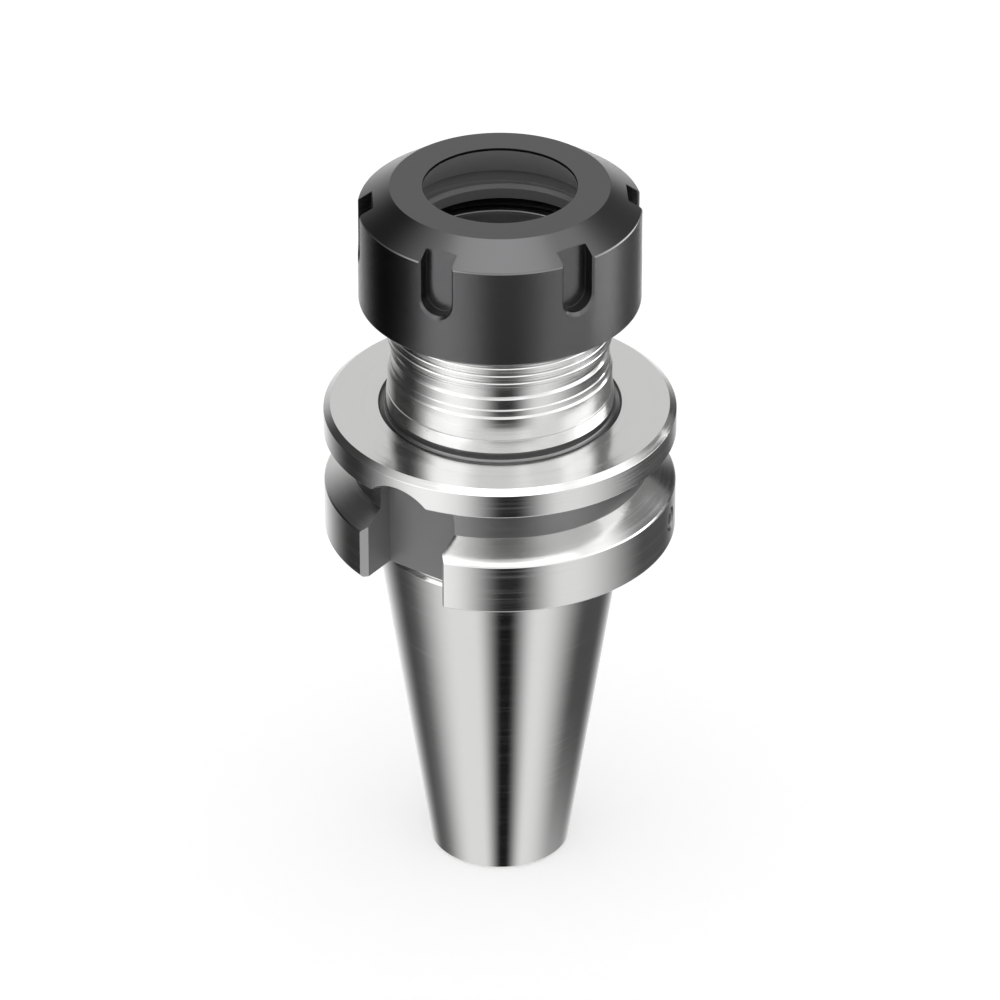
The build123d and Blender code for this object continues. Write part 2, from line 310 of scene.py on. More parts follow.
def makeShade(settings, panelGroup, cameraAzimuth):
    # a ring round the object, clear but for a soft-edged part that shades one side: black, or
    # grey where it glows; its lower end fades out
    radius = settings["radius"] * mm
    height = settings["top"] - settings["bottom"]
    middle = (settings["top"] + settings["bottom"]) / 2
    shape = bmesh.new()
    bmesh.ops.create_cone(shape, segments=cardSegments, radius1=radius, radius2=radius, depth=height * mm)
    bmesh.ops.translate(shape, verts=shape.verts, vec=axisUp * middle * mm)
    mesh = bpy.data.meshes.new("sideShade")
    shape.to_mesh(mesh)
    shape.free()
    material = cardMaterial("sideShade", settings["glow"])
    tree = material.node_tree
    split = addNode(tree, "ShaderNodeSeparateXYZ")
    feed(tree, split.inputs[0], addNode(tree, "ShaderNodeTexCoord").outputs["Object"])
    backwards = mathNode(tree, "MULTIPLY", split.outputs["Y"], -1.0)
    azimuth = mathNode(tree, "ARCTAN2", split.outputs["X"], backwards)
    # the panel's heights are millimetres here, and its widths are angles
    level = mathNode(tree, "MULTIPLY", split.outputs["Z"], 1 / mm)
    node = placeGroup(tree, panelGroup, Azimuth=azimuth, Elevation=level)
    node.inputs["Centre"].default_value = math.radians(settings["azimuth"] + cameraAzimuth)
    node.inputs["Half Width"].default_value = math.radians(settings["halfWidth"])
    node.inputs["Softness"].default_value = math.radians(settings["softness"])
    node.inputs["Lowest"].default_value = settings["bottom"] + settings["fade"]
    node.inputs["Highest"].default_value = settings["top"]
    node.inputs["Fade"].default_value = settings["fade"]
    shader = tree.nodes["Principled BSDF"]
    alpha = mathNode(tree, "MULTIPLY", node.outputs["Mask"], settings["share"])
    feed(tree, shader.inputs["Alpha"], alpha)
    stageCard("sideShade", mesh, material)


for settings in shadeSettings:
    makeShade(settings, bpy.data.node_groups["studioPanel"], cameraSettings["azimuth"])
print("studio lit")


# Finishes; some are darkened or lightened copies of a steel, as painted shade or painted light
finishSettings = {
    "groundSteel": {
        "color": (0.68, 0.68, 0.675),
        "roughness": (0.12, 0.2),
        "anisotropy": 0.7,
        "markScale": 5000,
        "markDepth": 0.1e-6,
    },
    "turnedSteel": {
        "color": (0.68, 0.68, 0.675),
        "roughness": (0.14, 0.24),
        "anisotropy": 0.5,
        "markScale": 2600,
        "markDepth": 0.3e-6,
    },
    "grooveSteel": {
        "color": (0.68, 0.68, 0.675),
        "roughness": (0.14, 0.2),
        "anisotropy": 0.3,
        "markScale": 2300,
        "markDepth": 0.8e-6,
    },
    # painted shade: the root of the flange's groove is darker steel, for the shade that falls in the groove
    "rootSteel": {
        "color": (0.22, 0.22, 0.22),
        "roughness": (0.34, 0.42),
        "anisotropy": 0.0,
        "markScale": 2300,
        "markDepth": 0.5e-6,
    },
    # painted shade: the undercut at the foot of the neck is darker steel, for the shade in it
    "recessSteel": {
        "color": (0.22, 0.22, 0.22),
        "roughness": (0.3, 0.45),
        "anisotropy": 0.3,
        "markScale": 3000,
        "markDepth": 0.6e-6,
    },
    # painted shade: the bores and drilled holes are darker steel, for the shade inside them
    "boredSteel": {
        "color": (0.2, 0.2, 0.2),
        "roughness": (0.34, 0.46),
        "anisotropy": 0.6,
        "markScale": 3000,
        "markDepth": 0.8e-6,
    },
    "blackenedSteel": {
        "color": (0.104, 0.104, 0.106),
        "roughness": (0.25, 0.262),
        "anisotropy": 0.2,
        "markScale": 3500,
        "markDepth": 0.06e-6,
    },
    # the corner between the nut's cone and side: lighter bare steel, partly wear and partly a painted
    # highlight
    "wornEdge": {
        "color": (0.17, 0.17, 0.17),
        "roughness": (0.2, 0.28),
        "anisotropy": 0.0,
        "markScale": 3000,
        "markDepth": 0.2e-6,
    },
    "blackenedBore": {
        "color": (0.19, 0.19, 0.193),
        "metallic": 0.0,
        "roughness": (0.4, 0.5),
        "anisotropy": 0.3,
        "markScale": 3000,
        "markDepth": 0.6e-6,
    },
    # painted light: a lighter copy of the blackened steel, so that the clamping cone below the mouth reads
    # as lit
    "blackenedCone": {
        "color": (0.34, 0.34, 0.345),
        "metallic": 0.0,
        "roughness": (0.4, 0.5),
        "anisotropy": 0.3,
        "markScale": 3000,
        "markDepth": 0.6e-6,
    },
    "edgeSteel": {
        "color": (0.66, 0.66, 0.655),
        "roughness": (0.38, 0.44),
        "anisotropy": 0.0,
        "markScale": 3000,
        "markDepth": 0.3e-6,
    },
    # painted shade: a near-black copy of the blackened steel for the shaded land at the nut's mouth
    "blackenedLand": {
        "color": (0.012, 0.012, 0.012),
        "roughness": (0.5, 0.6),
        "anisotropy": 0.0,
        "markScale": 3000,
        "markDepth": 0.1e-6,
    },
    # the drive slots' milled faces, darkened as painted shade and painted dark reflection; the plug screws
    # take it too as their own dark steel
    "milledSteel": {
        "color": (0.19, 0.19, 0.19),
        "metallic": 0.2,
        "roughness": (0.4, 0.5),
        "anisotropy": 0.0,
        "markScale": 2500,
        "markDepth": 0.6e-6,
    },
}


markSettings = {
    "scale": 3000.0,  # where a finish gives none
    "around": 0.7,  # how much the marks change round the axis
    "detail": 2.0,
    "spread": (0.45, 0.72),  # of the noise, from the glossiest mark to the roughest
    "glossTurn": 0.25,
}


def makeTurningMarks(s):
    # fine rings round the axis: noise that hardly changes with the angle
    inputs = [("Scale", "NodeSocketFloat", s["scale"]), ("Around", "NodeSocketFloat", s["around"])]
    group, entry, result = shaderGroup("turningMarks", inputs, [("Mark", "NodeSocketFloat", None)])
    split = addNode(group, "ShaderNodeSeparateXYZ")
    feed(group, split.inputs[0], addNode(group, "ShaderNodeTexCoord").outputs["Object"])
    across = addNode(group, "ShaderNodeCombineXYZ")
    feed(group, across.inputs["X"], split.outputs["X"])
    feed(group, across.inputs["Y"], split.outputs["Y"])
    radius = vectorNode(group, "LENGTH", across.outputs[0])
    around = addNode(group, "ShaderNodeSeparateXYZ")
    feed(group, around.inputs[0], vectorNode(group, "NORMALIZE", across.outputs[0]))
    place = addNode(group, "ShaderNodeCombineXYZ")
    feed(group, place.inputs["X"], mathNode(group, "MULTIPLY", radius, entry.outputs["Scale"]))
    feed(group, place.inputs["Y"], mathNode(group, "MULTIPLY", split.outputs["Z"], entry.outputs["Scale"]))
    feed(group, place.inputs["Z"], mathNode(group, "MULTIPLY", around.outputs["X"], entry.outputs["Around"]))
    noise = addNode(group, "ShaderNodeTexNoise", noise_dimensions="4D")
    feed(group, noise.inputs["Vector"], place.outputs[0])
    feed(group, noise.inputs["W"], mathNode(group, "MULTIPLY", around.outputs["Y"], entry.outputs["Around"]))
    noise.inputs["Scale"].default_value = 1.0
    noise.inputs["Detail"].default_value = s["detail"]
    feed(group, result.inputs["Mark"], noise.outputs["Fac"])
    return group


def makeFinish(name, settings, marksGroup):
    material = bpy.data.materials.new(name)
    material.use_nodes = True
    tree = material.node_tree
    shader = tree.nodes["Principled BSDF"]
    shader.inputs["Base Color"].default_value = (*settings["color"], 1)
    shader.inputs["Metallic"].default_value = settings.get("metallic", 1.0)
    shader.inputs["Anisotropic"].default_value = settings["anisotropy"]
    marks = placeGroup(tree, marksGroup, Scale=settings["markScale"]).outputs["Mark"]
    gloss = rampNode(tree, marks, *markSettings["spread"], *settings["roughness"])
    feed(tree, shader.inputs["Roughness"], gloss)
    bump = addNode(tree, "ShaderNodeBump")
    bump.inputs["Distance"].default_value = settings["markDepth"]
    feed(tree, bump.inputs["Height"], marks)
    feed(tree, shader.inputs["Normal"], bump.outputs["Normal"])
    if settings["anisotropy"] > 0:
        # the marks run round the axis, so the gloss spreads across them
        position = addNode(tree, "ShaderNodeTexCoord").outputs["Object"]
        around = vectorNode(tree, "CROSS_PRODUCT", tuple(axisUp), position)
        turn = addNode(tree, "ShaderNodeVectorTransform", vector_type="VECTOR",
                       convert_from="OBJECT", convert_to="WORLD")
        feed(tree, turn.inputs[0], vectorNode(tree, "NORMALIZE", around))
        feed(tree, shader.inputs["Tangent"], turn.outputs[0])
        shader.inputs["Anisotropic Rotation"].default_value = markSettings["glossTurn"]
    return material


marksGroup = makeTurningMarks(markSettings)
finishes = {name: makeFinish(name, settings, marksGroup) for name, settings in finishSettings.items()}
print("finishes made:", len(finishes))


# Turned shapes
latheSettings = {
    "segments": 240,
    "edgeSteps": 3,
    "sharpAngle": 24,
    "drillSegments": 48,
    "beyond": 1.0,  # cutters run past the surface by this
    "straightTurn": 0.01,  # a corner that turns less, in radians, isn't rounded
    "longestRun": 0.45,  # of a side, taken by the rounding of its corner
    "onAxis": 1e-6,  # a point nearer the axis lies on it
}


def roundedProfile(corners, steps):
    # corners are (radius, height, edge radius, finish); each edge becomes a small arc
    points = []
    for i, (radius, height, edge, finish) in enumerate(corners):
        here = Vector((radius, height))
        before = Vector(corners[i - 1][:2]) - here
        after = Vector(corners[(i + 1) % len(corners)][:2]) - here
        turn = math.pi - before.angle(after)
        if edge <= 0 or turn < latheSettings["straightTurn"]:
            points.append((here, finish))
            continue
        longest = latheSettings["longestRun"]
        run = min(edge * math.tan(turn / 2), before.length * longest, after.length * longest)
        start = here + before.normalized() * run
        end = here + after.normalized() * run
        for step in range(steps + 1):
            t = step / steps
            place = start * (1 - t) ** 2 + here * 2 * t * (1 - t) + end * t ** 2
            points.append((place, finish))
    return points


def latheMesh(name, corners, segments, steps=0):
    # a closed outline, in millimetres, turned about Z; points on the axis become one vertex
    points = roundedProfile(corners, steps) if steps else [(Vector(c[:2]), c[3]) for c in corners]
    names = list(dict.fromkeys(finish for place, finish in points))
    vertices = []
    rings = []
    for place, finish in points:
        count = segments if place.x > latheSettings["onAxis"] else 1
        rings.append(range(len(vertices), len(vertices) + count))
        for i in range(count):
            angle = 2 * math.pi * i / segments
            vertices.append((place.x * math.cos(angle) * mm, place.x * math.sin(angle) * mm, place.y * mm))
    faces = []
    materials = []
    for j, ring in enumerate(rings):
        following = rings[(j + 1) % len(rings)]
        for i in range(segments):
            k = (i + 1) % segments
            loop = [ring[i % len(ring)], ring[k % len(ring)], following[k % len(following)],
                    following[i % len(following)]]
            loop = list(dict.fromkeys(loop))
            if len(loop) > 2:
                faces.append(loop)
                materials.append(names.index(points[j][1]))
    mesh = bpy.data.meshes.new(name)
    mesh.from_pydata(vertices, [], faces)
    for finish in names:
        mesh.materials.append(finishes[finish])
    mesh.polygons.foreach_set("material_index", materials)
    return closedMesh(mesh)


def closedMesh(mesh):
    shape = bmesh.new()
    shape.from_mesh(mesh)
    bmesh.ops.recalc_face_normals(shape, faces=shape.faces)
    for face in shape.faces:
        face.smooth = True
    shape.to_mesh(mesh)
    shape.free()
    return mesh


def settle(piece):
    # replaces a piece's mesh by what its modifiers make of it, and removes them
    bpy.context.view_layer.update()
    evaluated = piece.evaluated_get(bpy.context.evaluated_depsgraph_get())
    mesh = bpy.data.meshes.new_from_object(evaluated)
    piece.modifiers.clear()
    piece.data = mesh
    mesh.name = piece.name
    return piece


# Cutters are drawn facing -Y, where an angle of 0 points
def slotCutter(name, rings, centre, openEnd, arcSteps):
    # rings are (distance from the axis, half width); the round end lies opposite the open one
    side = 1 if openEnd > centre else -1
    outlines = []
    for distance, halfWidth in rings:
        arc = []
        for step in range(arcSteps + 1):
            angle = math.pi * step / arcSteps
            arc.append((halfWidth * math.cos(angle), centre - side * halfWidth * math.sin(angle)))
        outline = [(halfWidth, openEnd), *arc, (-halfWidth, openEnd)]
        outlines.append([(x * mm, -distance * mm, z * mm) for x, z in outline])
    count = len(outlines[0])
    vertices = [point for outline in outlines for point in outline]
    faces = [range(count), range(len(vertices) - count, len(vertices))]
    for j in range(len(outlines) - 1):
        for i in range(count):
            k = (i + 1) % count
            faces.append((j * count + i, j * count + k, (j + 1) * count + k, (j + 1) * count + i))
    mesh = bpy.data.meshes.new(name)
    mesh.from_pydata(vertices, [], faces)
    return newObject(name, closedMesh(mesh))


def prismCutter(name, outline, bottom, top):
    # an outline seen from above, (x, distance from the axis), cut from one height to another
    count = len(outline)
    vertices = [(x * mm, -distance * mm, z * mm) for z in (bottom, top) for x, distance in outline]
    faces = [range(count), range(count, 2 * count)]
    faces += [(i, (i + 1) % count, (i + 1) % count + count, i + count) for i in range(count)]
    mesh = bpy.data.meshes.new(name)
    mesh.from_pydata(vertices, [], faces)
    return newObject(name, closedMesh(mesh))


def drillCutter(name, steps, start, direction):
    # steps are (radius, distance along the drill from the start)
    outline = [(0, steps[0][1]), *steps, (0, steps[-1][1])]
    corners = [(radius, along, 0, "boredSteel") for radius, along in outline]
    mesh = latheMesh(name, corners, latheSettings["drillSegments"])
    turn = Vector(direction).to_track_quat("Z", "Y").to_matrix().to_4x4()
    mesh.transform(Matrix.Translation(Vector(start) * mm) @ turn)
    return newObject(name, mesh)


def makeAroundCut():
    # Geometry Nodes: a cutter repeated round the axis and taken out of the piece
    tree = bpy.data.node_groups.new("aroundCut", "GeometryNodeTree")
    for name, kind in (("Geometry", "NodeSocketGeometry"), ("Cutter", "NodeSocketObject"),
                       ("Count", "NodeSocketInt"), ("First Angle", "NodeSocketFloat"),
                       ("Finish", "NodeSocketMaterial")):
        tree.interface.new_socket(name, in_out="INPUT", socket_type=kind)
    tree.interface.new_socket("Geometry", in_out="OUTPUT", socket_type="NodeSocketGeometry")
    given = addNode(tree, "NodeGroupInput").outputs
    cutter = addNode(tree, "GeometryNodeObjectInfo")
    feed(tree, cutter.inputs["Object"], given["Cutter"])
    marked = addNode(tree, "GeometryNodeStoreNamedAttribute", data_type="BOOLEAN", domain="FACE")
    feed(tree, marked.inputs["Geometry"], cutter.outputs["Geometry"])
    feed(tree, marked.inputs["Name"], "cutFace")
    feed(tree, marked.inputs["Value"], True)
    places = addNode(tree, "GeometryNodeMeshLine")
    feed(tree, places.inputs["Count"], given["Count"])
    feed(tree, places.inputs["Offset"], (0, 0, 0))
    step = mathNode(tree, "DIVIDE", 2 * math.pi, given["Count"])
    turned = mathNode(tree, "MULTIPLY_ADD", addNode(tree, "GeometryNodeInputIndex").outputs[0],
                      step, given["First Angle"])
    rotation = addNode(tree, "ShaderNodeCombineXYZ")
    feed(tree, rotation.inputs["Z"], turned)
    copies = addNode(tree, "GeometryNodeInstanceOnPoints")
    feed(tree, copies.inputs["Points"], places.outputs["Mesh"])
    feed(tree, copies.inputs["Instance"], marked.outputs["Geometry"])
    feed(tree, copies.inputs["Rotation"], rotation.outputs[0])
    cut = addNode(tree, "GeometryNodeMeshBoolean", operation="DIFFERENCE", solver="MANIFOLD")
    feed(tree, cut.inputs["Mesh 1"], given["Geometry"])
    feed(tree, cut.inputs["Mesh 2"], copies.outputs["Instances"])
    realized = addNode(tree, "GeometryNodeRealizeInstances")
    feed(tree, realized.inputs["Geometry"], cut.outputs["Mesh"])
    isCut = addNode(tree, "GeometryNodeInputNamedAttribute", data_type="BOOLEAN")
    feed(tree, isCut.inputs["Name"], "cutFace")
    finish = addNode(tree, "GeometryNodeSetMaterial")
    feed(tree, finish.inputs["Geometry"], realized.outputs["Geometry"])
    feed(tree, finish.inputs["Selection"], isCut.outputs["Attribute"])
    feed(tree, finish.inputs["Material"], given["Finish"])
    output = addNode(tree, "NodeGroupOutput")
    feed(tree, output.inputs["Geometry"], finish.outputs["Geometry"])
    return tree


def setInputs(modifier, values):
    # a modifier's inputs are set by the sockets' identifiers
    for item in modifier.node_group.interface.items_tree:
        if item.in_out == "INPUT" and item.name in values:
            modifier[item.identifier] = values[item.name]


def cutAround(piece, cutter, count, firstAngle, finish):
    modifier = piece.modifiers.new("cut", "NODES")
    modifier.node_group = aroundCut
    setInputs(modifier, {"Cutter": cutter, "Count": count, "First Angle": math.radians(firstAngle),
                         "Finish": finishes[finish]})
    settle(piece)
    if "cutFace" in piece.data.attributes:
        piece.data.attributes.remove(piece.data.attributes["cutFace"])
    bpy.data.objects.remove(cutter)


def crispShading(piece):
    # long faces keep their own normals, and only real edges are sharp
    piece.data.set_sharp_from_angle(angle=math.radians(latheSettings["sharpAngle"]))
    weighted = piece.modifiers.new("normals", "WEIGHTED_NORMAL")
    weighted.keep_sharp = True
    settle(piece)


aroundCut = makeAroundCut()

# Holder body
holderSettings = {
    "gaugeDiameter": 44.45,
    "taperRatio": 7 / 24,
    "taperLength": 65.4,
    "smallEndChamfer": 0.4,
    "reliefWidth": 1.7,
    "reliefDepth": 0.7,
    "reliefCorner": 0.3,
    "flangeDiameter": 63.0,
    "rearFace": 2.0,
    "rearRim": 9.6,
    "grooveWidth": 10.0,
    "grooveAngle": 60.0,
    "grooveDepth": 5.0,
    "grooveCorner": 0.12,
    "frontRim": 5.4,
    "rearEdge": 0.45,
    "grooveEdge": 0.25,
    "frontChamfer": (1.2, 0.9),
    "undercutDiameter": 43.4,
    "undercutDepth": 0.6,
    "undercutHeight": 1.3,
    "undercutSetback": 0.35,
    "undercutSlope": (0.25, 0.7, 0.3),  # inwards, share of the depth, rounding
    "undercutFloor": (0.5, 0.2),  # width in front of the wall, rounding
    "undercutRise": (0.4, 0.3),  # share of the depth at the wall, rounding
    "undercutLip": 0.2,
    "footDiameter": 41.0,
    "footLength": 2.3,
    "neckDiameter": 40.0,
    "neckLength": 4.3,
    "neckFoot": ((0.2, 0.0), (-0.06, 0.1), (0.03, 0.24)),  # outwards, upwards
    "lands": ((39.3, 1.45), (38.9, 2.1)),  # diameter, length
    "landEdge": 0.04,
    "threadReliefDiameter": 38.0,
    "threadReliefWidth": 1.9,
    "threadRootDiameter": 39.3,
    "threadRunIn": 0.1,
    "threadEnd": 48.6,
    "threadRunOut": 0.5,
    "threadCoreDiameter": 38.16,
    "noseHeight": 56.2,
    "noseChamfer": 0.6,
    "seatDiameter": 33.0,
    "seatAngle": 8.0,
    "seatLength": 33.0,
    "seatLead": (0.85, 6.0),  # width, depth
    "seatLeadEdge": (0.15, 0.04),  # chamfer, rounding
    "seatRounding": 0.3,
    "shankBore": (22.5, 26.0),
    "coolantBore": 10.0,
    "drillPoint": 118.0,
    "studPilot": (17.0, 8.2),
    "studThread": (14.0, 41.0),
    "studChamfer": 0.5,
    "edge": 0.1,
    "sides": 2,  # slots, plug holes and inlets lie opposite each other
    "slotWidth": 16.1,
    "slotFloor": 22.6,
    "slotCentre": 16.3,
    "slotEdge": 1.1,
    "slotArcSteps": 48,
    "plugAngle": 111.0,
    "plugHeight": 7.0,
    "plugHoleDiameter": 4.04,
    "plugHoleDepth": 4.25,
    "plugMouth": 0.35,
    "channelDiameter": 3.2,
    "inletRadius": 24.9,
    "inletDepth": 7.2,
}


def holderProfile(s):
    # from the pull-stud hole out over the small end, up the outside, and down through the bores
    def onTaper(height):
        return (s["gaugeDiameter"] + height * s["taperRatio"]) / 2

    edge = s["edge"]
    flange = s["flangeDiameter"] / 2
    rimTop = s["rearFace"] + s["rearRim"]
    grooveTop = rimTop + s["grooveWidth"]
    front = grooveTop + s["frontRim"]
    root = flange - s["grooveDepth"]
    run = s["grooveDepth"] * math.tan(math.radians(s["grooveAngle"] / 2))
    rearRelief = onTaper(0) - s["reliefDepth"]
    reliefBottom = s["rearFace"] - s["reliefWidth"]
    chamferWidth, chamferHeight = s["frontChamfer"]
    cut = s["undercutDepth"]
    undercut = s["undercutDiameter"] / 2
    slopeIn, slopeShare, slopeRounding = s["undercutSlope"]
    floorWidth, floorRounding = s["undercutFloor"]
    riseShare, riseRounding = s["undercutRise"]
    undercutTop = front + s["undercutHeight"]
    foot = s["footDiameter"] / 2
    setBack = foot - s["undercutSetback"]
    neck = s["neckDiameter"] / 2
    neckStart = undercutTop + s["footLength"]
    (lowerLand, lowerLength), (upperLand, upperLength) = s["lands"]
    lower = neckStart + s["neckLength"]
    upper = lower + lowerLength
    relief = upper + upperLength
    threadRelief = s["threadReliefDiameter"] / 2
    threadRoot = s["threadRootDiameter"] / 2
    threadStart = relief + s["threadReliefWidth"]
    core = s["threadCoreDiameter"] / 2
    nose = s["noseHeight"]
    seat = s["seatDiameter"] / 2
    seatEnd = nose - s["seatLength"]
    seatSlope = math.tan(math.radians(s["seatAngle"]))
    seatEndRadius = seat - s["seatLength"] * seatSlope
    leadWidth, leadDepth = s["seatLead"]
    leadEdge, leadRounding = s["seatLeadEdge"]
    lead = seat + leadWidth
    shank, shankLength = s["shankBore"][0] / 2, s["shankBore"][1]
    point = math.tan(math.radians(s["drillPoint"] / 2))
    channel = s["coolantBore"] / 2
    stud, studEnd = s["studThread"][0] / 2, s["studThread"][1] - s["taperLength"]
    pilot, pilotEnd = s["studPilot"][0] / 2, s["studPilot"][1] - s["taperLength"]
    base = -s["taperLength"]
    corners = [
        (pilot + s["studChamfer"], base, edge, "turnedSteel"),
        (onTaper(base) - s["smallEndChamfer"], base, edge, "turnedSteel"),
        (onTaper(base + s["smallEndChamfer"]), base + s["smallEndChamfer"], edge, "groundSteel"),
        (onTaper(reliefBottom), reliefBottom, edge, "turnedSteel"),
        (rearRelief, reliefBottom + s["reliefDepth"], edge, "turnedSteel"),
        (rearRelief, s["rearFace"], s["reliefCorner"], "turnedSteel"),
        (flange - s["rearEdge"], s["rearFace"], edge, "turnedSteel"),
        (flange, s["rearFace"] + s["rearEdge"], edge, "turnedSteel"),
        (flange, rimTop - s["grooveEdge"], edge, "turnedSteel"),
        (flange - s["grooveEdge"], rimTop, edge, "grooveSteel"),
        # the groove's root takes the darkened steel, painted shade
        (root, rimTop + run, s["grooveCorner"], "rootSteel"),
        (root, grooveTop - run, s["grooveCorner"], "grooveSteel"),
        (flange - s["grooveEdge"], grooveTop, edge, "turnedSteel"),
        (flange, grooveTop + s["grooveEdge"], edge, "turnedSteel"),
        (flange, front - chamferHeight, edge, "turnedSteel"),
        (flange - chamferWidth, front, edge, "turnedSteel"),
        # the undercut takes the darkened steel, painted shade
        (undercut, front, edge, "recessSteel"),
        (undercut - slopeIn, front - slopeShare * cut, slopeRounding, "recessSteel"),
        (setBack + floorWidth, front - cut, floorRounding, "recessSteel"),
        (setBack, front - riseShare * cut, riseRounding, "recessSteel"),
        (setBack, undercutTop - s["undercutLip"], edge, "recessSteel"),
        (foot, undercutTop, edge, "turnedSteel"),
        *[(neck + out, neckStart + up, 0, "turnedSteel") for out, up in s["neckFoot"]],
        (neck, lower, s["landEdge"], "turnedSteel"),
        (lowerLand / 2, lower + neck - lowerLand / 2, 0, "turnedSteel"),
        (lowerLand / 2, upper, s["landEdge"], "turnedSteel"),
        (upperLand / 2, upper + (lowerLand - upperLand) / 2, 0, "turnedSteel"),
        (upperLand / 2, relief, s["landEdge"], "turnedSteel"),
        (threadRelief, relief + upperLand / 2 - threadRelief, 0, "turnedSteel"),
        (threadRelief, threadStart, edge, "turnedSteel"),
        (threadRoot, threadStart + s["threadRunIn"], 0, "turnedSteel"),
        (threadRoot, s["threadEnd"], 0, "turnedSteel"),
        (core, s["threadEnd"] + s["threadRunOut"], 0, "turnedSteel"),
        (core, nose - s["noseChamfer"], edge, "turnedSteel"),
        # from here down through the bores the steel is darkened, painted shade
        (core - s["noseChamfer"], nose, edge, "boredSteel"),
        (lead, nose, leadRounding, "boredSteel"),
        (lead - leadEdge, nose - leadEdge, leadRounding, "boredSteel"),
        (seat - leadDepth * seatSlope, nose - leadDepth, s["seatRounding"], "boredSteel"),
        (seatEndRadius, seatEnd, 0, "boredSteel"),
        (shank, seatEnd, 0, "boredSteel"),
        (shank, seatEnd - shankLength, 0, "boredSteel"),
        (channel, seatEnd - shankLength - (shank - channel) / point, 0, "boredSteel"),
        (channel, studEnd + (stud - channel) / point, 0, "boredSteel"),
        (stud, studEnd, 0, "boredSteel"),
        (stud, pilotEnd, 0, "boredSteel"),
        (pilot, pilotEnd, 0, "boredSteel"),
        (pilot, base + s["studChamfer"], edge, "turnedSteel"),
    ]
    return [(radius, height - base, *rest) for radius, height, *rest in corners]


def makeHolder(s):
    mesh = latheMesh("holderBody", holderProfile(s), latheSettings["segments"], latheSettings["edgeSteps"])
    body = newObject("holderBody", mesh)
    flange = s["flangeDiameter"] / 2
    rearFace = s["taperLength"] + s["rearFace"]
    half = s["slotWidth"] / 2
    beyond = latheSettings["beyond"]
    slot = slotCutter("driveSlot", [(s["slotFloor"], half), (flange + beyond, half)],
                      s["taperLength"] + s["slotCentre"], rearFace - beyond, s["slotArcSteps"])
    # the slot's faces take the darkened steel, painted shade
    cutAround(body, slot, s["sides"], 0, "milledSteel")
    wide = half + s["slotEdge"]
    reach = math.sqrt(flange ** 2 - wide ** 2)
    grooveRun = s["grooveDepth"] * math.tan(math.radians(s["grooveAngle"] / 2))
    chamferTop = rearFace + s["rearRim"] + grooveRun
    inner = reach - s["slotEdge"]
    outer = flange + beyond
    for hand in (-1, 1):
        outline = [(hand * half, inner), (hand * wide, reach), (hand * wide, outer),
                   (hand * (half - beyond), outer), (hand * (half - beyond), inner)]
        chamfer = prismCutter("slotChamfer", outline, rearFace - beyond, chamferTop)
        cutAround(body, chamfer, s["sides"], 0, "edgeSteel")
    hole = s["plugHoleDiameter"] / 2
    channel = s["channelDiameter"] / 2
    mouth = s["plugMouth"]
    screwEnd = flange - s["plugHoleDepth"]
    steps = [(channel, 0), (channel, screwEnd), (hole, screwEnd), (hole, flange - mouth),
             (hole + mouth + beyond, flange + beyond)]
    way = drillCutter("coolantWay", steps, (0, 0, s["taperLength"] + s["plugHeight"]), (0, -1, 0))
    # the coolant holes take the darkened steel, painted shade
    cutAround(body, way, s["sides"], s["plugAngle"], "boredSteel")
    inlet = drillCutter("coolantInlet", [(hole, -beyond), (hole, s["inletDepth"])],
                        (0, -s["inletRadius"], rearFace), (0, 0, 1))
    cutAround(body, inlet, s["sides"], s["plugAngle"], "boredSteel")
    crispShading(body)
    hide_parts("holder_body")
    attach(body, "holder")
    return body


holderBody = makeHolder(holderSettings)
print("holder body made:", len(holderBody.data.polygons), "faces")


# Thread of the neck, a helical ridge on the root cylinder
threadSettings = {
    "pitch": 1.5,
    "crestDiameter": 40.0,
    "crestWidth": 0.74,
    "flankAngle": 60,
    "edge": 0.2,  # rounding of the crest's edges
    "sunk": 0.3,  # under the root cylinder
    "bottom": 106.1,
    "top": 113.8,
    "crestHeight": 106.63,  # of the lowest crest, at the azimuth below
    "crestAzimuth": 35.2,
    "pointsPerTurn": 160,
    "spareTurns": 2,  # trimmed off at the ends
    "trimSegments": 96,
    "trimMargin": 0.5,
    "trimLead": 0.4,
    "sharpAngle": 12,
}


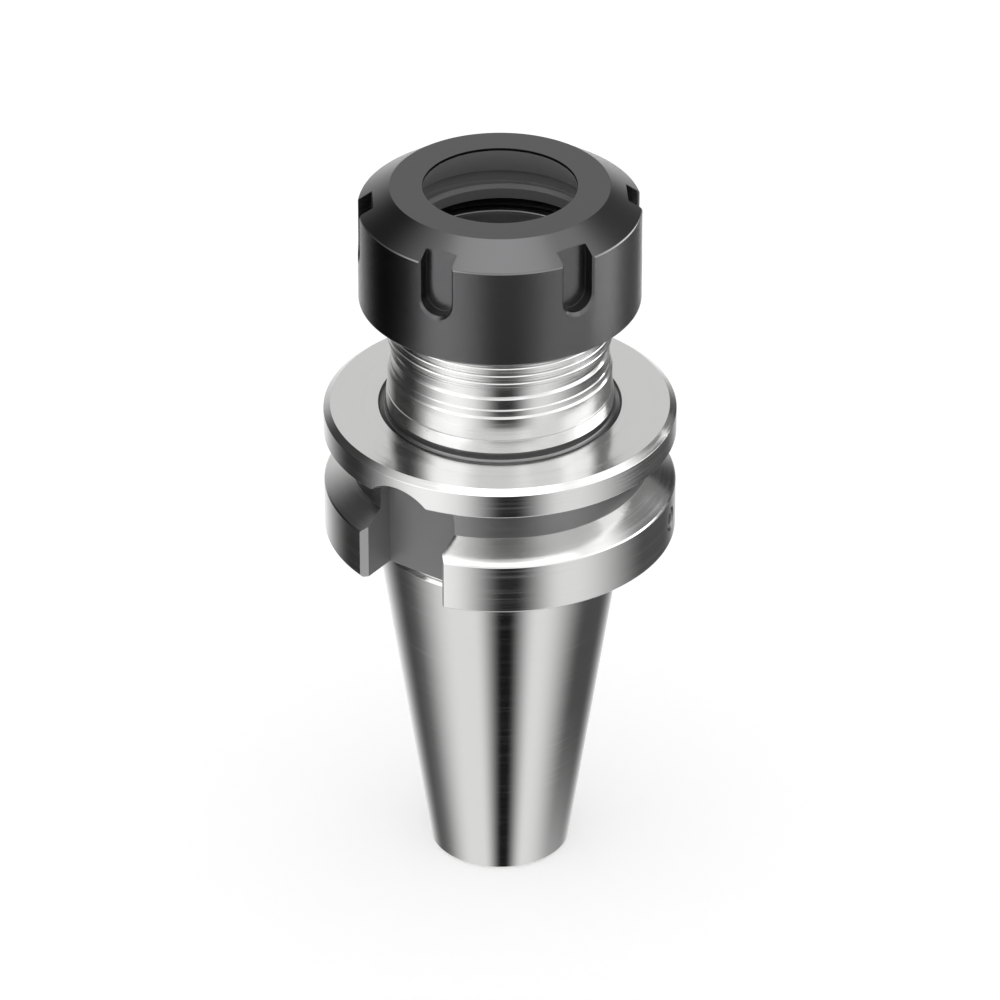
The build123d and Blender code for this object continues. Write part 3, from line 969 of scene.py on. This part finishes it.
def makeThreadTree():
    # Geometry Nodes: a trapezoid with rounded edges, its crest turned outwards, swept along a helix
    # and trimmed at both ends
    tree = bpy.data.node_groups.new("helicalRidge", "GeometryNodeTree")
    for name, kind in (("Geometry", "NodeSocketGeometry"), ("Radius", "NodeSocketFloat"),
                       ("Length", "NodeSocketFloat"), ("Turns", "NodeSocketFloat"),
                       ("Base Width", "NodeSocketFloat"), ("Crest Width", "NodeSocketFloat"),
                       ("Ridge Height", "NodeSocketFloat"), ("Edge", "NodeSocketFloat"),
                       ("Points Per Turn", "NodeSocketInt"), ("Start", "NodeSocketVector"),
                       ("Trim", "NodeSocketObject"), ("Finish", "NodeSocketMaterial")):
        tree.interface.new_socket(name, in_out="INPUT", socket_type=kind)
    tree.interface.new_socket("Geometry", in_out="OUTPUT", socket_type="NodeSocketGeometry")
    given = addNode(tree, "NodeGroupInput").outputs
    helix = addNode(tree, "GeometryNodeCurveSpiral")
    feed(tree, helix.inputs["Resolution"], given["Points Per Turn"])
    feed(tree, helix.inputs["Rotations"], given["Turns"])
    feed(tree, helix.inputs["Start Radius"], given["Radius"])
    feed(tree, helix.inputs["End Radius"], given["Radius"])
    feed(tree, helix.inputs["Height"], given["Length"])
    upright = addNode(tree, "GeometryNodeSetCurveNormal", mode="Z_UP")
    feed(tree, upright.inputs["Curve"], helix.outputs["Curve"])
    section = addNode(tree, "GeometryNodeCurvePrimitiveQuadrilateral", mode="TRAPEZOID")
    feed(tree, section.inputs["Bottom Width"], given["Base Width"])
    feed(tree, section.inputs["Top Width"], given["Crest Width"])
    feed(tree, section.inputs["Offset"], 0.0)
    feed(tree, section.inputs["Height"], given["Ridge Height"])
    rounded = addNode(tree, "GeometryNodeFilletCurve", mode="POLY")
    feed(tree, rounded.inputs["Curve"], section.outputs["Curve"])
    feed(tree, rounded.inputs["Count"], 1)
    feed(tree, rounded.inputs["Radius"], given["Edge"])
    outward = addNode(tree, "GeometryNodeTransform")
    feed(tree, outward.inputs["Geometry"], rounded.outputs["Curve"])
    outward.inputs["Rotation"].default_value = (0, 0, math.pi / 2)
    swept = addNode(tree, "GeometryNodeCurveToMesh")
    feed(tree, swept.inputs["Curve"], upright.outputs["Curve"])
    feed(tree, swept.inputs["Profile Curve"], outward.outputs["Geometry"])
    feed(tree, swept.inputs["Fill Caps"], True)
    placed = addNode(tree, "GeometryNodeTransform")
    feed(tree, placed.inputs["Geometry"], swept.outputs["Mesh"])
    feed(tree, placed.inputs["Translation"], given["Start"])
    trim = addNode(tree, "GeometryNodeObjectInfo")
    feed(tree, trim.inputs["Object"], given["Trim"])
    # an intersection takes both meshes through one socket
    trimmed = addNode(tree, "GeometryNodeMeshBoolean", operation="INTERSECT", solver="MANIFOLD")
    feed(tree, trimmed.inputs["Mesh 2"], placed.outputs["Geometry"])
    tree.links.new(trim.outputs["Geometry"], trimmed.inputs["Mesh 2"])
    realized = addNode(tree, "GeometryNodeRealizeInstances")
    feed(tree, realized.inputs["Geometry"], trimmed.outputs["Mesh"])
    finish = addNode(tree, "GeometryNodeSetMaterial")
    feed(tree, finish.inputs["Geometry"], realized.outputs["Geometry"])
    feed(tree, finish.inputs["Material"], given["Finish"])
    output = addNode(tree, "NodeGroupOutput")
    feed(tree, output.inputs["Geometry"], finish.outputs["Geometry"])
    return tree


def makeThread(s, rootDiameter):
    base = rootDiameter / 2 - s["sunk"]
    crest = s["crestDiameter"] / 2
    height = crest - base
    baseWidth = s["crestWidth"] + 2 * height * math.tan(math.radians(s["flankAngle"] / 2))
    # the helix starts at +X, 270 degrees before azimuth 0, and one whole turn lower
    below = s["crestHeight"] - s["pitch"] * (1 + (s["crestAzimuth"] + 270) / 360)
    turns = (s["top"] - below) / s["pitch"] + s["spareTurns"]
    inner = crest - s["trimMargin"]
    outer = crest + s["trimMargin"]
    outline = [(0, s["bottom"]), (inner, s["bottom"]), (outer, s["bottom"] + s["trimLead"]),
               (outer, s["top"]), (0, s["top"])]
    corners = [(radius, level, 0, "turnedSteel") for radius, level in outline]
    trim = newObject("threadTrim", latheMesh("threadTrim", corners, s["trimSegments"]))
    thread = newObject("neckThread", bpy.data.meshes.new("neckThread"))
    modifier = thread.modifiers.new("thread", "NODES")
    modifier.node_group = makeThreadTree()
    setInputs(modifier, {
        "Radius": (base + height / 2) * mm, "Length": turns * s["pitch"] * mm, "Turns": turns,
        "Base Width": baseWidth * mm, "Crest Width": s["crestWidth"] * mm, "Ridge Height": height * mm,
        "Edge": s["edge"] * mm, "Points Per Turn": s["pointsPerTurn"],
        "Start": (0.0, 0.0, below * mm), "Trim": trim, "Finish": finishes["turnedSteel"],
    })
    settle(thread)
    bpy.data.objects.remove(trim)
    closedMesh(thread.data)
    thread.data.set_sharp_from_angle(angle=math.radians(s["sharpAngle"]))
    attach(thread, "holder")
    return thread


neckThread = makeThread(threadSettings, holderSettings["threadRootDiameter"])
print("thread made:", len(neckThread.data.polygons), "faces")


# Clamping nut
nutSettings = {
    "diameter": 50.0,
    "length": 22.5,
    "bottom": 113.6,
    "faceDiameter": 38.8,
    "coneHeight": 3.75,
    "bottomChamfer": 0.7,
    "edgeChamfer": (0.125, 0.25, 0.03125),  # worn: inwards, down the side, up past the corner
    "mouthDiameter": 27.2,
    "mouthLand": 0.5,
    "mouthEdge": 0.05,
    "clampAngle": 30.0,
    "clampDepth": 6.3,
    "grooveDiameter": 35.6,
    "grooveWidth": 2.5,
    "grooveCorner": 0.2,
    "lipDiameter": 33.0,
    "lipOffset": 0.6,
    "lipWidth": 2.6,
    "lipChamfer": 0.65,
    "lipOverrun": 0.4,
    "lipFlare": (0.8, 0.2),  # outwards, upwards
    "reliefDiameter": 40.8,
    "reliefWidth": 1.8,
    "boreDiameter": 38.36,
    "entryChamfer": 1.1,
    "slotCount": 6,
    "slotWidth": 6.0,
    "slotDepth": 2.7,
    "slotBottom": 8.7,
    "slotCorner": 0.05,
    "cornerSteps": 6,
    "slotArcSteps": 16,
    "slotEdge": 0.35,
    "firstSlot": 8.5,
    "edge": 0.12,
}


def nutProfile(s):
    # up the outside, over the face, and down through the mouth, clamping cone, lip and thread bore
    edge = s["edge"]
    outer = s["diameter"] / 2
    coneEdge = s["length"] - s["coneHeight"]
    mouth = s["mouthDiameter"] / 2
    edgeIn, edgeDown, edgeUp = s["edgeChamfer"]
    clampRun = s["clampDepth"] - s["mouthLand"]
    coneEnd = mouth + clampRun * math.tan(math.radians(s["clampAngle"]))
    groove = s["grooveDiameter"] / 2
    lipTop = s["clampDepth"] + s["grooveWidth"]
    lipBottom = lipTop + s["lipWidth"]
    lip = s["lipDiameter"] / 2 - s["lipOffset"] - s["lipChamfer"]
    relief = s["reliefDiameter"] / 2
    reliefEnd = lipBottom + s["reliefWidth"]
    bore = s["boreDiameter"] / 2
    fromTop = [
        # the mouth's land takes the near-black copy, painted shade
        (mouth, 0, s["mouthEdge"], "blackenedLand"),
        # the clamping cone takes the lighter copy, painted light
        (mouth, s["mouthLand"], s["mouthEdge"], "blackenedCone"),
        (coneEnd, s["clampDepth"], edge, "blackenedBore"),
        (groove, s["clampDepth"], s["grooveCorner"], "blackenedBore"),
        (groove, lipTop, s["grooveCorner"], "blackenedBore"),
        (lip, lipTop, 0, "blackenedBore"),
        (lip, lipBottom, 0, "blackenedBore"),
        (relief, lipBottom, 0, "blackenedSteel"),
        (relief, reliefEnd, 0, "blackenedSteel"),
        (bore, reliefEnd + relief - bore, 0, "blackenedSteel"),
        (bore, s["length"] - s["entryChamfer"], 0, "blackenedSteel"),
        (bore + s["entryChamfer"], s["length"], edge, "blackenedSteel"),
    ]
    corners = [
        (outer - s["bottomChamfer"], 0, edge, "blackenedSteel"),
        (outer, s["bottomChamfer"], edge, "blackenedSteel"),
        # this corner takes the lighter steel, worn and a painted highlight
        (outer, coneEdge - edgeDown, edge, "wornEdge"),
        (outer - edgeIn, coneEdge + edgeUp, edge, "blackenedSteel"),
        (s["faceDiameter"] / 2, s["length"], edge, "blackenedSteel"),
    ]
    corners += [(radius, s["length"] - depth, *rest) for radius, depth, *rest in fromTop]
    return [(radius, height + s["bottom"], *rest) for radius, height, *rest in corners]


def makeNut(s):
    mesh = latheMesh("clampingNut", nutProfile(s), latheSettings["segments"], latheSettings["edgeSteps"])
    nut = newObject("clampingNut", mesh)
    outer = s["diameter"] / 2
    top = s["bottom"] + s["length"]
    beyond = latheSettings["beyond"]
    # the lip's bore lies off the axis, so that a collet snaps in under its thick side
    lipTop = top - s["clampDepth"] - s["grooveWidth"]
    lip = s["lipDiameter"] / 2
    flareOut, flareUp = s["lipFlare"]
    steps = [(lip, -s["lipWidth"] - s["lipOverrun"]), (lip, -s["lipChamfer"]),
             (lip + s["lipChamfer"], 0), (lip + flareOut, flareUp)]
    lipBore = drillCutter("lipBore", steps, (s["lipOffset"], 0, lipTop), (0, 0, 1))
    cutAround(nut, lipBore, 1, 0, "blackenedBore")
    # spanner slots: a rounded corner at the floor and a flared outer edge
    half = s["slotWidth"] / 2
    corner = s["slotCorner"]
    floor = outer - s["slotDepth"]
    rings = []
    for step in range(s["cornerSteps"] + 1):
        angle = math.pi / 2 * step / s["cornerSteps"]
        rings.append((floor + corner * (1 - math.cos(angle)), half - corner * (1 - math.sin(angle))))
    flared = half + s["slotEdge"]
    flareEnd = math.sqrt(outer ** 2 - flared ** 2)
    rings.append((flareEnd - s["slotEdge"], half))
    rings.append((outer + beyond, half + outer + beyond - flareEnd + s["slotEdge"]))
    slot = slotCutter("spannerSlot", rings, s["bottom"] + s["slotBottom"] + half, top + beyond,
                      s["slotArcSteps"])
    cutAround(nut, slot, s["slotCount"], s["firstSlot"], "blackenedSteel")
    crispShading(nut)
    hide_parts("clamping_nut")
    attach(nut, "nut")
    return nut


clampingNut = makeNut(nutSettings)
print("nut made:", len(clampingNut.data.polygons), "faces")

# Plug screws keep their CAD shape
screwNodes = ["channel_plug_right", "channel_plug_left", "inlet_plug_right", "inlet_plug_left"]
for name in screwNodes:
    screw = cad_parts[name]
    screw.data.materials.clear()
    screw.data.materials.append(finishes["milledSteel"])
print("plug screws finished:", len(screwNodes))

bpy.context.scene.view_settings.view_transform = "Standard"
bpy.context.view_layer.update()
